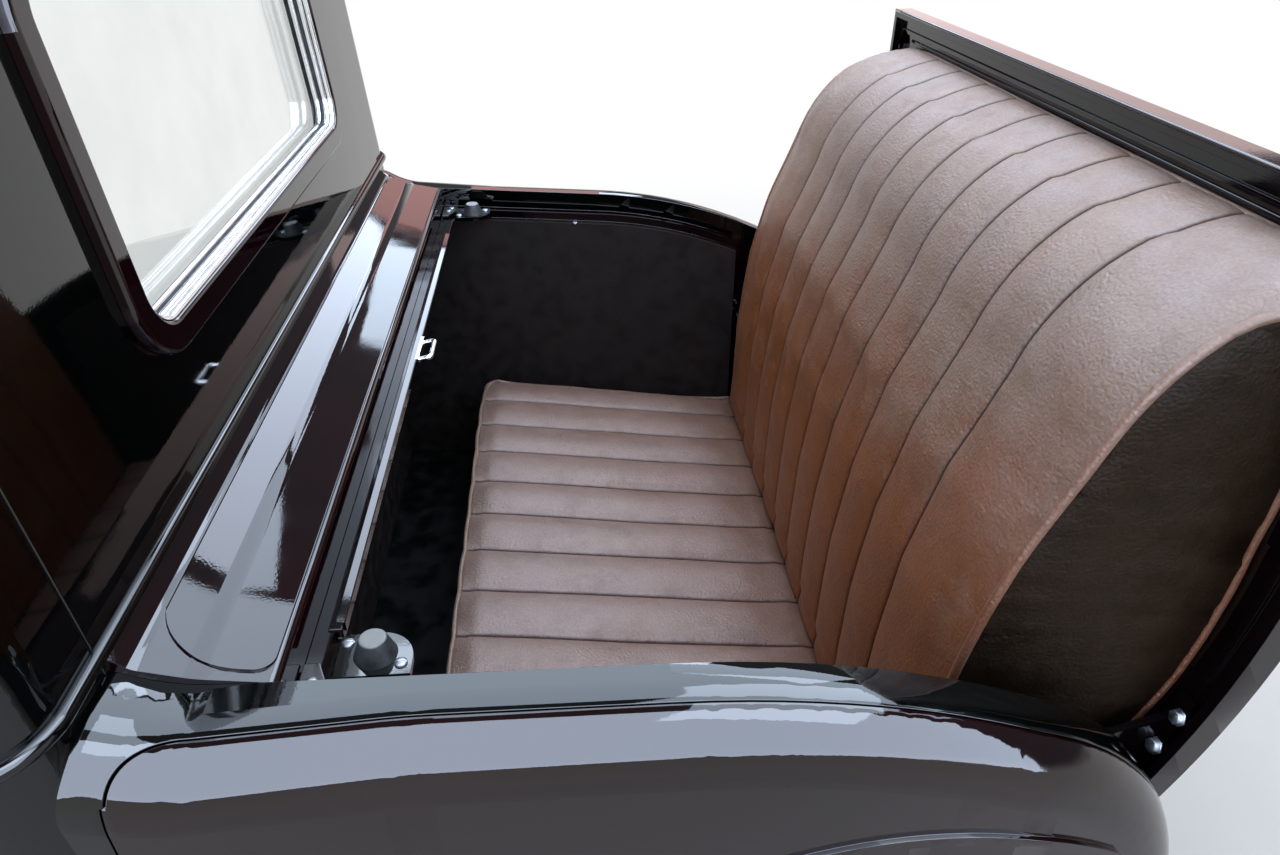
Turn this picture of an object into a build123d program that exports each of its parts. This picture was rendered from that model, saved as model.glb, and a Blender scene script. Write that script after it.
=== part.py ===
from build123d import *
import os
from math import cos, hypot, radians, sin, tan

# Frame: X runs to the rear, Y to the car's right, Z up, all in millimetres.
# The origin is the centre of the chassis bolts, on the underside of the sills.

# Side view of the body: the top line of the rails, which the closed lid continues
front_x = -400.0
rail_front_z = 575.0
rail_slope = 3.2
# The rails sweep up to the cab in front of sweep_end_x, and run straight behind it
sweep_end_x = -250.0
rail_straight = 310.8
# Columns: bend radius, slope in degrees where the bend ends
sweep_bends = ((60.0, 30.0), (110.0, rail_slope))
rail_bends = ((797.0, 26.0), (280.0, 72.2), (1067.0, 88.0))
tail_run = 90.0

# Plan view: outer edge of the rails as x, half width, and the straight inner edge
inner_half_mid = 547.0
inner_taper = 0.0297
rail_widths = (65.0, 36.0, 24.0, -2.0)
rail_plan = [(x, inner_half_mid + out) for x, out in zip((front_x, -120.0, 340.0, 620.0), rail_widths)]
plan_round = 420.0
# The rail turns outwards beside the cab, in front of turn_x
turn_x = -299.0
turn_round = 48.0
turn_low_z = 330.0

# Body sides
shoulder_out = 35.0
shoulder_round = 52.0
rail_depth = 30.0
rail_gap = 1.2
tub_step_x = 300.0
gutter_width = 25.0
gutter_depth = 40.0
sheet = 4.0
lip_height = 8.0
trim_thick = 6.0
trim_drop = 4.0
axle_x = 235.0
axle_z = -120.0
arch_radius = 300.0
arch_relief = 55.0
# Raised line of the fender's top: centre in side view, radius
bead_centre = (235.0, 82.0)
fender_bead_radius = 330.0
bead_half_width = 5.0
bead_proud = 4.0

# Floor and sills
sill_height = 40.0
sill_width = 50.0
floor_thick = 8.0
cross_width = 50.0
bolt_x = 300.0
bolt_setback = 187.0
bolt_y = inner_half_mid - bolt_setback
bolt_hole_r = 6.5
bulkhead_thick = 18.0
floor_setback = 12.5

# Tail, stepped out round the sweep of the lid's lower edge
tail_thick = 8.0
tail_clear = 5.2
tail_bead_r = 5.0
# Drops below the lid's lower edge: tail top, foot of the step, top of the lower wall
tail_top_drop = 8.0
tail_step_drop = 49.0
tail_wall_drop = 42.0

# Cab back wall, which leans forward as it rises
wall_foot_x = -312.0
wall_foot_z = 593.0
wall_lean = 4.6
wall_thick = 35.0
wall_low_z = 530.0
corner_round = 55.0
cab_flare = 50.0
cab_taper = 7.0
cab_half_front = rail_plan[0][1] + cab_flare
cab_half_rear = cab_half_front - cab_taper
corner_width = 95.0
corner_seam = cab_half_rear - corner_width
belt_radius = 6.0
belt_z = 603.0
window_setback = 177.0
window_half = inner_half_mid - window_setback
window_low_z = 700.0
window_tall = 310.0
window_header = 90.0
wall_top_z = window_low_z + window_tall + window_header
window_round = 62.0
frame_width = 26.0
frame_proud = 10.0
seal_width = 7.0
glass_thick = 5.0
glass_inset = 22.0

# Deck panel between the cab and the lid
deck_top_z = 606.0
deck_rear_x = -210.0
deck_rear_z = 563.0
# Breaks of the deck's top line: x, z, bend radius
deck_breaks = ((-298.0, 586.0, 18.0), (-262.0, 573.0, 90.0))
deck_thick = 26.0
deck_foot = 8.0
deck_foot_drop = 30.0
deck_hook = 8.0
deck_hook_in = 14.0
deck_edge_round = 7.0
# Raised field of the deck: front and rear x, gap to the rails, height, front and rear corner radius
field_front_x = -297.0
field_rear_gap = 5.0
field_side_gap = 9.0
field_high = 2.0
field_corners = (60.0, 14.0)
front_lip_x = -186.0
front_lip_setback = 71.0
front_lip_half = inner_half_mid - front_lip_setback
front_lip_z = 535.0
front_lip_width = 11.0
gutter_step = 9.0
gusset_thick = 3.0
# Gusset outline as set-backs from the deck's edge and from the rail
gusset_outline = ((0.0, 0.0), (0.0, 46.0), (12.0, 46.0), (23.0, 20.0), (23.0, 0.0))
edge_gap = 1.0

# Lid, drawn closed and then opened about the hinge
hinge_x = 325.0
hinge_z = 301.0
lid_open = 88.0
lid_front_x = -205.0
lid_low_z = 294.0
lid_gap = 12.0
lid_flange = 26.0
lid_hem = 10.0
lid_skin_thick = 4.0
lid_inner_depth = 16.0
fit_gap = 0.3
rib_inset = 14.0
rib_wide = 6.0
rib_high = 3.0
pin_radius = 8.0
pin_play = 0.08
arm_setback = 53.0
arm_inner = inner_half_mid - arm_setback
arm_thick = 7.0
arm_eye = 21.0
arm_foot = (215.0, 345.0)
arm_foot_wide = 18.0
arm_foot_thick = 7.7
arm_foot_over = 4.0
arm_web_z = 560.0
# Bracket plate round the pin: set-backs to the front, rear, bottom and top
hinge_plate = (22.0, 45.0, 60.0, 40.0)
hinge_plate_thick = 8.0
hinge_plate_round = 12.0
boss_radius = 16.0
pin_head_radius = 14.0
pin_head_thick = 6.0

# Seat
cushion_front_x = -165.0
cushion_rear_x = 297.0
cushion_front_z = 221.0
cushion_rear_z = 158.0
cushion_thick = 95.0
cushion_setback = 49.0
cushion_half = inner_half_mid - cushion_setback
cushion_corner = 34.0
base_inset = 12.0
base_front_inset = 18.0
backrest_setback = 14.0
backrest_half = arm_inner - backrest_setback
backrest_corner = 62.0
# Backrest in side view with the lid open: x, z
backrest_front = ((300.5, 164.0), (301.0, 250.0), (305.0, 345.0), (318.0, 455.0), (343.0, 560.0),
                  (384.0, 660.0))
backrest_crown = ((384.0, 660.0), (446.0, 758.0), (560.0, 800.0))
backrest_tail = ((600.0, 780.0), (600.0, 600.0), (430.0, 164.0))

# Lid stops and latch
bumper_x = -156.0
bumper_setback = 43.0
bumper_y = inner_half_mid - bumper_setback
bumper_base_r = 16.5
bumper_top_r = 10.0
bumper_base_z = 535.0
bumper_top_z = 552.0
bumper_edge_round = 3.0
bumper_pocket_r = 24.0
bracket_reach = 28.0
bracket_side = 22.0
bracket_thick = 6.0
bracket_rounds = (8.0, 27.0)
striker_half = 22.0
striker_rod = 3.0
striker_plate_over = 8.0
striker_sink = 2.0
striker_foot = 6.0
striker_rise = 9.0
striker_reach = 18.0
striker_round = 5.0
handle_setback = 62.0
handle_plate_r = 20.0
handle_plate = 4.0
handle_shaft_r = 8.0
handle_rise = 24.0
handle_span = 96.0
handle_grip = (16.0, 12.0)
handle_round = 5.0

# Reach of the blocks that cut and bound the parts
tall = 1400.0
reach_out, reach_in = 200.0, 147.0
wide = inner_half_mid + reach_out
far_x = 900.0
side_inner_y = inner_half_mid - reach_in
under_z = -300.0
cut_over = 20.0


def inner_half(x):
    """Half width between the rails at x."""
    return inner_half_mid - inner_taper * x


def rail_z(x):
    """Height of the rails' straight line at x."""
    return rail_front_z - (x - front_x) * tan(radians(rail_slope))


def bend_on(edges, bends, angle, inset):
    """Adds bends to a line of the skin's inset, those that turn up being hollow."""
    for radius, end_slope in bends:
        last, turn = edges[-1], end_slope - angle
        edges.append(JernArc(last @ 1, last % 1, radius - inset if turn > 0 else radius + inset, -turn))
        angle = end_slope


def run_on(edges, length):
    """Adds a straight end to a line."""
    last = edges[-1]
    edges.append(Line(last @ 1, (last @ 1) + (last % 1) * length))


def skin_edges(inset):
    """Edges of the rail's side view line, moved into the body by inset."""
    run, rise, angle = 0.0, 0.0, 0.0
    for radius, end_slope in sweep_bends:
        side, first, last = (1 if end_slope > angle else -1), radians(angle), radians(end_slope)
        run += side * radius * (sin(last) - sin(first))
        rise += side * radius * (cos(first) - cos(last))
        angle = end_slope
    top = rail_z(sweep_end_x) + rise - inset
    edges = [Line((front_x, top), (sweep_end_x - run, top))]
    bend_on(edges, sweep_bends, 0.0, inset)
    run_on(edges, rail_straight)
    bend_on(edges, rail_bends, rail_slope, inset)
    run_on(edges, tail_run)
    return edges


def side_region(inset):
    """Face of everything under the skin line."""
    edges = skin_edges(inset)
    first, last = edges[0] @ 0, edges[-1] @ 1
    rest = Polyline(last, (last.X, under_z), (first.X, under_z), first)
    return make_face(edges + rest.edges())


def side_strip(outer, inner):
    """Face between two insets of the skin line."""
    near, far = skin_edges(outer), skin_edges(inner)
    ends = [Line(near[0] @ 0, far[0] @ 0), Line(near[-1] @ 1, far[-1] @ 1)]
    return make_face(near + far + ends)


def prism(face, y_low, y_high):
    """Side view face carried from one Y to another."""
    return extrude(Plane.XZ.offset(-y_low) * face, amount=-(y_high - y_low))


def plan_block(points, z_low=under_z, z_high=tall):
    """Block over a plan view outline."""
    return extrude(Pos(0, 0, z_low) * make_face(Polyline(*points, close=True)), amount=z_high - z_low)


def box(x_low, x_high, y_low, y_high, z_low, z_high):
    """Box between two corners."""
    size = (x_high - x_low, y_high - y_low, z_high - z_low)
    return Pos(x_low, y_low, z_low) * Box(*size, align=(Align.MIN, Align.MIN, Align.MIN))


def inner_block(x_low, x_high, shift_low, shift_high):
    """Block between two lines beside the rail's inner edge, right side."""
    return plan_block(((x_low, inner_half(x_low) + shift_low), (x_high, inner_half(x_high) + shift_low),
                       (x_high, inner_half(x_high) + shift_high), (x_low, inner_half(x_low) + shift_high)))


def between_rails(x_low, x_high, gap):
    """Block that fills the opening between the two inner edges, less a gap each side."""
    low, high = inner_half(x_low) - gap, inner_half(x_high) - gap
    return plan_block(((x_low, -low), (x_high, -high), (x_high, high), (x_low, low)))


def outer_face(extra, inner_y):
    """Plan inside the line of the rail's outer edge, right side."""
    line = FilletPolyline(*[(x, half + extra) for x, half in rail_plan], radius=plan_round)
    rest = Polyline(line @ 1, ((line @ 1).X, inner_y), ((line @ 0).X, inner_y), line @ 0)
    return make_face(line.edges() + rest.edges())


def outer_block(extra, inner_y):
    """Block over that plan."""
    return extrude(Pos(0, 0, under_z) * outer_face(extra, inner_y), amount=tall)


def rail_block(extra):
    """Block over the rail and its turn outwards beside the cab, right side."""
    end_x = turn_x + extra
    band = make_face(Polyline((front_x, side_inner_y), (end_x, side_inner_y), (end_x, wide), (front_x, wide),
                              close=True))
    face = outer_face(extra, side_inner_y) + band
    (first_x, first_half), (next_x, next_half) = rail_plan[:2]
    half = first_half + (next_half - first_half) * (end_x - first_x) / (next_x - first_x) + extra
    corner = face.vertices().sort_by_distance((end_x, half))[0]
    return extrude(Pos(0, 0, under_z) * fillet(corner, turn_round), amount=tall)


def opened(part):
    """A lid part turned from closed to its open rest."""
    return part.rotate(Axis((hinge_x, 0, hinge_z), (0, 1, 0)), lid_open)


def mirrored(part):
    """The left part of a pair."""
    return mirror(part, about=Plane.XZ)


def side_shell():
    """Right body side with its rounded shoulder, before the rail and gutter are taken out."""
    shell = prism(side_region(0), side_inner_y, wide) & outer_block(shoulder_out, side_inner_y)
    shell &= box(front_x, far_x, 0, wide, 0, tall)
    top = [e for e in shell.edges() if e.center().Y > inner_half_mid and e.center().Z > sheet
           and e.bounding_box().size.X > edge_gap]
    shell = fillet(top, shoulder_round)
    walls = inner_block(front_x, tub_step_x, -gutter_width, wide)
    walls += inner_block(tub_step_x, far_x, 0, wide)
    return shell & walls


def rail_zone(extra):
    """Band along the top of the body side, which runs down beside the cab, right side."""
    band = prism(side_strip(-sheet, rail_depth), side_inner_y, wide)
    band += box(front_x, turn_x + extra, side_inner_y, wide, turn_low_z - extra, tall)
    return band & rail_block(extra)


def belt_rail(shell):
    """Rail along the top of the body side."""
    return shell & rail_zone(0) & inner_block(front_x, far_x, 0, wide)


def quarter_panel(shell):
    """Body side below the rail, with the wheel relief."""
    panel = shell - rail_zone(rail_gap)
    panel -= prism(side_strip(-sheet, gutter_depth), side_inner_y, wide) \
        & inner_block(front_x, far_x, -2 * gutter_width, 0)
    depth = wide - rail_plan[1][1] - shoulder_out + arch_relief
    relief = Pos(axle_x, wide, axle_z) * Rot(90, 0, 0) * Cylinder(arch_radius, 2 * depth)
    return panel - relief + fender_bead()


def fender_bead():
    """Raised line on the body side where a fender meets it, right side."""
    ring = Circle(fender_bead_radius + bead_half_width) - Circle(fender_bead_radius - bead_half_width)
    bead = prism(Pos(*bead_centre) * ring, side_inner_y, wide)
    bead &= prism(side_region(shoulder_round), side_inner_y, wide)
    bead &= outer_block(shoulder_out + bead_proud, side_inner_y)
    return (bead - outer_block(shoulder_out - sheet, side_inner_y)) & box(front_x, far_x, 0, wide, 0, tall)


def side_gutter():
    """Rain channel between the rail and the seat bay."""
    floor_top = gutter_depth - sheet
    floor = prism(side_strip(floor_top, gutter_depth), side_inner_y, wide)
    floor &= inner_block(deck_rear_x, tub_step_x, -gutter_width, 0)
    lip = prism(side_strip(floor_top - lip_height, floor_top), side_inner_y, wide)
    lip &= inner_block(front_lip_x, tub_step_x, -gutter_width, sheet - gutter_width)
    return floor + lip


def side_trim():
    """Trim board on the inside of the seat bay."""
    board = prism(side_region(gutter_depth + trim_drop), side_inner_y, wide)
    board &= inner_block(wall_inner_x() + bulkhead_thick, tub_step_x, -gutter_width - trim_thick,
                         -gutter_width)
    return board & box(front_x, far_x, 0, wide, sill_height + floor_thick, tall)


def wall_plane(inset=0.0):
    """Plane of the cab back wall's outer face, with its foot line at v = 0."""
    lean = radians(wall_lean)
    normal = Vector(cos(lean), 0, sin(lean))
    origin = Vector(wall_foot_x, 0, wall_foot_z) - normal * inset
    return Plane(origin=origin, x_dir=(0, 1, 0), z_dir=normal)


def wall_inner_x():
    """X of the wall's inner face at its low edge."""
    return wall_foot_x + (wall_foot_z - wall_low_z) * tan(radians(wall_lean)) - wall_thick


def window_outline(grow):
    """Rounded window outline on the wall plane, grown by a width."""
    middle = window_low_z + window_tall / 2 - wall_foot_z
    size = (2 * (window_half + grow), window_tall + 2 * grow)
    return Pos(0, middle) * RectangleRounded(*size, window_round + grow)


def wall_slab(face, inset, thick):
    """Solid on the wall plane, from one inset inwards."""
    return extrude(wall_plane(inset) * face, amount=-thick)


def cab_back_panel(sides):
    """Wall between the corner seams, with its window cut."""
    low, high = wall_low_z - wall_foot_z - cut_over, wall_top_z - wall_foot_z + cut_over
    blank = Pos(0, (low + high) / 2) * Rectangle(2 * corner_seam, high - low)
    wall = wall_slab(blank, 0, wall_thick)
    wall &= box(-far_x, 0, -wide, wide, wall_low_z, wall_top_z)
    return wall - wall_slab(window_outline(0), -cut_over, wall_thick + 2 * cut_over) - sides


def cab_corner(shell):
    """Corner post of the cab, right side."""
    back_x = wall_foot_x + (wall_foot_z - wall_low_z) * tan(radians(wall_lean))
    outer = FilletPolyline((front_x, cab_half_front), (back_x, cab_half_rear), (back_x, corner_seam),
                           radius=corner_round)
    in_x = back_x - wall_thick
    inner = FilletPolyline((in_x, corner_seam), (in_x, cab_half_rear - wall_thick),
                           (front_x, cab_half_front - wall_thick), radius=corner_round - wall_thick)
    ends = [Line(outer @ 1, inner @ 0), Line(inner @ 1, outer @ 0)]
    face = Pos(0, 0, wall_low_z - cut_over) * make_face(outer.edges() + inner.edges() + ends)
    lean = radians(wall_lean)
    post = extrude(face, amount=tall, dir=(-sin(lean), 0, cos(lean)))
    post &= box(front_x, 0, 0, wide, wall_low_z - cut_over, wall_top_z)
    return post - shell - prism(side_region(0), side_inner_y, inner_half(front_x))


def belt_moulding(cab):
    """Half round bead at the foot of the cab."""
    back_x = wall_foot_x - (belt_z - wall_foot_z) * tan(radians(wall_lean))
    path = FilletPolyline((front_x, -cab_half_front), (back_x, -cab_half_rear), (back_x, cab_half_rear),
                          (front_x, cab_half_front), radius=corner_round)
    path = Pos(0, 0, belt_z) * path
    section = Plane(origin=path @ 0, z_dir=path % 0) * Circle(belt_radius)
    return sweep(section, path=path) - cab


def deck_profile(grow):
    """Side view of the deck, its top raised by grow."""
    foot_x, low = wall_foot_x - deck_foot, deck_top_z - deck_thick - deck_foot_drop
    hook_z = front_lip_z - gutter_step
    line = Polyline((foot_x, deck_top_z + grow), *[(x, z + grow) for x, z, _ in deck_breaks],
                    (deck_rear_x, deck_rear_z + grow))
    rest = Polyline(line @ 1, (deck_rear_x, hook_z), (deck_rear_x - deck_hook, hook_z),
                    (deck_rear_x - deck_hook_in, deck_rear_z - deck_thick), (foot_x, low), line @ 0)
    face = make_face(line.edges() + rest.edges())
    for x, z, radius in deck_breaks:
        face = fillet(face.vertices().sort_by_distance((x, z + grow))[0], radius)
    return fillet(face.vertices().sort_by_distance((deck_rear_x, deck_rear_z + grow))[0], deck_edge_round)


def deck_field():
    """Plan block of the deck's raised field."""
    rear_x = deck_rear_x - field_rear_gap
    front, rear = inner_half(field_front_x) - field_side_gap, inner_half(rear_x) - field_side_gap
    face = make_face(Polyline((field_front_x, -front), (rear_x, -rear), (rear_x, rear),
                              (field_front_x, front), close=True))
    for group, radius in zip((0, -1), field_corners):
        face = fillet(face.vertices().group_by(Axis.X)[group], radius)
    return extrude(face, amount=tall)


def deck_panel(cab, sides):
    """Sweep from the cab's foot to the lid, with a raised field."""
    deck = prism(deck_profile(0), -wide, wide) & between_rails(front_x, 0, 0)
    deck += prism(deck_profile(field_high), -wide, wide) & deck_field()
    return deck - cab - sides


def front_gutter():
    """Channel under the front edge of the lid."""
    bottom = front_lip_z - gutter_step - sheet
    tray = between_rails(deck_rear_x, front_lip_x, gutter_width)
    tray &= box(deck_rear_x, front_lip_x, -wide, wide, bottom, bottom + sheet)
    wall = box(front_lip_x - sheet, front_lip_x, -front_lip_half, front_lip_half, bottom, front_lip_z)
    lip = box(front_lip_x - front_lip_width, front_lip_x, -front_lip_half, front_lip_half,
              front_lip_z - sheet, front_lip_z)
    return tray + wall + lip


def corner_gusset():
    """Triangular plate in the front corner of the opening, right side."""
    low = rail_z(deck_rear_x) - gutter_depth + sheet + fit_gap
    half = inner_half(deck_rear_x) - edge_gap
    outline = [(deck_rear_x + edge_gap + x, half - y) for x, y in gusset_outline]
    return plan_block(outline, low, low + gusset_thick)


def bumper_bracket():
    """Plate that carries the rubber bumper, right side."""
    half = inner_half(bumper_x) - gutter_width - fit_gap
    plate = box(front_lip_x + fit_gap, bumper_x + bracket_reach, bumper_y - bracket_side, half - edge_gap,
                bumper_base_z - bracket_thick, bumper_base_z)
    for rank, radius in enumerate(bracket_rounds):
        plate = fillet(plate.edges().filter_by(Axis.Z).group_by(Axis.Y)[0].sort_by(Axis.X)[-rank], radius)
    return plate


def bumper():
    """Tapered rubber bumper, right side."""
    height = bumper_top_z - bumper_base_z
    cone = Cone(bumper_base_r, bumper_top_r, height, align=(Align.CENTER, Align.CENTER, Align.MIN))
    cone = fillet(cone.edges().group_by(Axis.Z)[-1], bumper_edge_round)
    return Pos(bumper_x, bumper_y, bumper_base_z) * cone


def latch_striker():
    """Bent rod on the front gutter's lip that the lid's latch grips."""
    low = front_lip_z - gutter_step
    half = striker_half + striker_plate_over
    plate = box(front_lip_x, front_lip_x + sheet, -half, half, low, front_lip_z + striker_sink)
    reach, root = front_lip_x + striker_reach, front_lip_x + striker_sink
    foot, top = low + striker_foot, low + striker_rise
    path = FilletPolyline((root, -striker_half, foot), (reach, -striker_half, top),
                          (reach, striker_half, top), (root, striker_half, foot), radius=striker_round)
    return plate + sweep(Plane(origin=path @ 0, z_dir=path % 0) * Circle(striker_rod), path=path)


def sill():
    """Length beam under the right body side."""
    beam = inner_block(front_x, far_x, -gutter_width - sill_width, -gutter_width)
    return beam & box(front_x, tail_reach() - floor_setback, 0, wide, 0, sill_height)


def cross_member(x):
    """Beam across the body with two chassis bolt holes."""
    low, high = x - cross_width / 2, x + cross_width / 2
    beam = between_rails(low, high, gutter_width + sill_width) & box(low, high, -wide, wide, 0, sill_height)
    for side in (-1, 1):
        beam -= Pos(x, side * bolt_y, sill_height / 2) * Cylinder(bolt_hole_r, 2 * sill_height)
    return beam


def floor_pan():
    """Floor over the sills."""
    low, high = wall_inner_x(), tail_reach() - floor_setback
    return between_rails(low, high, gutter_width) \
        & box(low, high, -wide, wide, sill_height, sill_height + floor_thick)


def bulkhead():
    """Front wall of the foot well, under the cab's back panel."""
    low = wall_inner_x()
    return between_rails(low, low + bulkhead_thick, gutter_width) \
        & box(low, low + bulkhead_thick, -wide, wide, sill_height + floor_thick, wall_low_z)


def tail_reach():
    """X of the tail's inner face, outside the sweep of the closed lid's lower edge."""
    level = side_region(0) & Pos(0, lid_low_z) * Rectangle(2 * far_x, fit_gap)
    edge_x = level.bounding_box().max.X
    return hinge_x + hypot(edge_x - hinge_x, lid_low_z - hinge_z) + tail_clear


def tail_panel():
    """Rear wall below the lid, stepped out at its top so that the lid tucks in behind it."""
    reach, top = tail_reach(), lid_low_z - tail_top_drop
    panel = prism(side_strip(0, tail_thick), -wide, wide)
    panel &= box(0, far_x, -wide, wide, 0, lid_low_z - tail_wall_drop)
    panel += box(reach, reach + tail_thick, -wide, wide, lid_low_z - tail_step_drop, top)
    panel += Pos(reach + tail_bead_r, 0, top) * Rot(90, 0, 0) * Cylinder(tail_bead_r, 2 * wide)
    return panel & between_rails(hinge_x, far_x, 0)


def seat_base():
    """Wooden box that carries the cushion."""
    drop, low = cushion_thick + fit_gap, sill_height + floor_thick
    front, rear = cushion_front_x + base_front_inset, cushion_rear_x - base_inset
    outline = Polyline((front, cushion_top(front) - drop), (rear, cushion_top(rear) - drop), (rear, low),
                       (front, low), close=True)
    return prism(make_face(outline), base_inset - cushion_half, cushion_half - base_inset)


def cushion_top(x):
    """Height of the cushion's top face at x."""
    share = (x - cushion_front_x) / (cushion_rear_x - cushion_front_x)
    return cushion_front_z + share * (cushion_rear_z - cushion_front_z)


def seat_cushion():
    """Lower cushion, plain."""
    outline = Polyline((cushion_front_x, cushion_front_z), (cushion_rear_x, cushion_rear_z),
                       (cushion_rear_x, cushion_rear_z - cushion_thick),
                       (cushion_front_x, cushion_front_z - cushion_thick), close=True)
    block = prism(make_face(outline), -cushion_half, cushion_half)
    return fillet(block.edges().filter_by(Axis.Z).group_by(Axis.X)[0], cushion_corner)


def backrest_cushion():
    """Backrest, in the open lid's place."""
    edges = Polyline(*backrest_front).edges() + ThreePointArc(*backrest_crown).edges()
    edges += Polyline(backrest_crown[-1], *backrest_tail, backrest_front[0]).edges()
    block = prism(make_face(edges), -backrest_half, backrest_half)
    low, high = backrest_front[0][1], backrest_crown[-1][1]
    outline = Polyline((-backrest_half, low), (backrest_half, low), (backrest_half, high),
                       (-backrest_half, high), close=True)
    outline = make_face(outline)
    outline = fillet(outline.vertices().group_by(Axis.Y)[-1], backrest_corner)
    block &= extrude(Plane.YZ * outline, amount=wide)
    inside = opened(prism(side_region(lid_inner_depth + fit_gap), -wide, wide))
    return block & inside


def lid_block(outer, inner, gap, front, low):
    """Closed lid between two insets and inside its edges."""
    block = prism(side_strip(outer, inner), -wide, wide) & between_rails(front_x, far_x, gap)
    return block & box(front, far_x, -wide, wide, low, tall)


def lid_skin():
    """Outer skin of the lid with its turned flange."""
    skin = lid_block(0, lid_flange, lid_gap, lid_front_x, lid_low_z)
    pocket = lid_block(lid_skin_thick, lid_flange + cut_over, lid_gap + lid_hem, lid_front_x + lid_hem,
                       lid_low_z + lid_hem)
    return skin - pocket


def lid_rib():
    """Pressed rib that follows the front and sides of the lid's inner panel."""
    inset = lid_hem + fit_gap + rib_inset
    depths = (lid_inner_depth, lid_inner_depth + rib_high)
    rib = lid_block(*depths, lid_gap + inset, lid_front_x + inset, lid_low_z)
    inset += rib_wide
    rib -= lid_block(*depths, lid_gap + inset, lid_front_x + inset, lid_low_z)
    return rib & box(lid_front_x, arm_foot[0] - cut_over, -wide, wide, 0, tall)


def lid_inner_panel():
    """Inner panel that the backrest is fixed to."""
    edge = lid_hem + fit_gap
    panel = lid_block(lid_skin_thick, lid_inner_depth, lid_gap + edge, lid_front_x + edge, lid_low_z + edge)
    panel += lid_rib()
    for side in (-1, 1):
        panel -= Pos(bumper_x, side * bumper_y, bumper_top_z) * Cylinder(bumper_pocket_r, 4 * cut_over)
    return panel


def hinge_arm():
    """Arm from the hinge pin to the lid, right side, closed."""
    low, high = arm_foot
    outline = make_face(Polyline((hinge_x - arm_eye, hinge_z), (low, arm_web_z), (high, arm_web_z),
                                 (hinge_x + arm_eye, hinge_z), close=True))
    web = prism(outline, arm_inner, arm_inner + arm_thick)
    web += prism(Pos(hinge_x, hinge_z) * Circle(arm_eye), arm_inner, arm_inner + arm_thick)
    web &= prism(side_region(lid_inner_depth + fit_gap), 0, wide)
    seat = lid_inner_depth + fit_gap
    foot = prism(side_strip(seat, seat + arm_foot_thick), arm_inner, arm_inner + arm_foot_wide)
    foot &= box(low - arm_foot_over, high + arm_foot_over, 0, wide, hinge_z, tall)
    bore = prism(Pos(hinge_x, hinge_z) * Circle(pin_radius + pin_play), 0, wide)
    return web + foot - bore


def hinge_bracket():
    """Plate and pin on the body side that the arm turns on, right side."""
    front, rear, down, up = hinge_plate
    face_y = inner_half(hinge_x + rear) - fit_gap
    corners = Polyline((hinge_x - front, hinge_z - down), (hinge_x + rear, hinge_z - down),
                       (hinge_x + rear, hinge_z + up), (hinge_x - front, hinge_z + up), close=True)
    plate = prism(make_face(corners), face_y - hinge_plate_thick, face_y)
    plate = fillet(plate.edges().filter_by(Axis.Y), hinge_plate_round)
    root = face_y - hinge_plate_thick / 2
    # Boss, pin and pin head: radius and Y from the lid's arm to the plate
    turned = ((boss_radius, arm_inner + arm_thick + fit_gap, root),
              (pin_radius, arm_inner - pin_head_thick, root),
              (pin_head_radius, arm_inner - pin_head_thick - fit_gap, arm_inner - fit_gap))
    for radius, low, high in turned:
        plate += prism(Pos(hinge_x, hinge_z) * Circle(radius), low, high)
    return plate


def lid_handle():
    """Outside handle near the lid's front edge, closed."""
    foot_x = lid_front_x + handle_setback
    top = rail_z(foot_x)
    standing = (Align.CENTER, Align.CENTER, Align.MIN)
    plate = Cylinder(handle_plate_r, handle_plate, align=standing)
    shaft = Cylinder(handle_shaft_r, handle_rise, align=standing)
    grip_wide, grip_high = handle_grip
    grip = Pos(0, 0, handle_rise) * Box(grip_wide, handle_span, grip_high)
    grip = fillet(grip.edges().filter_by(Axis.Y), handle_round)
    return Pos(foot_x, 0, top) * Rot(0, rail_slope, 0) * (plate + shaft + grip)


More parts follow.
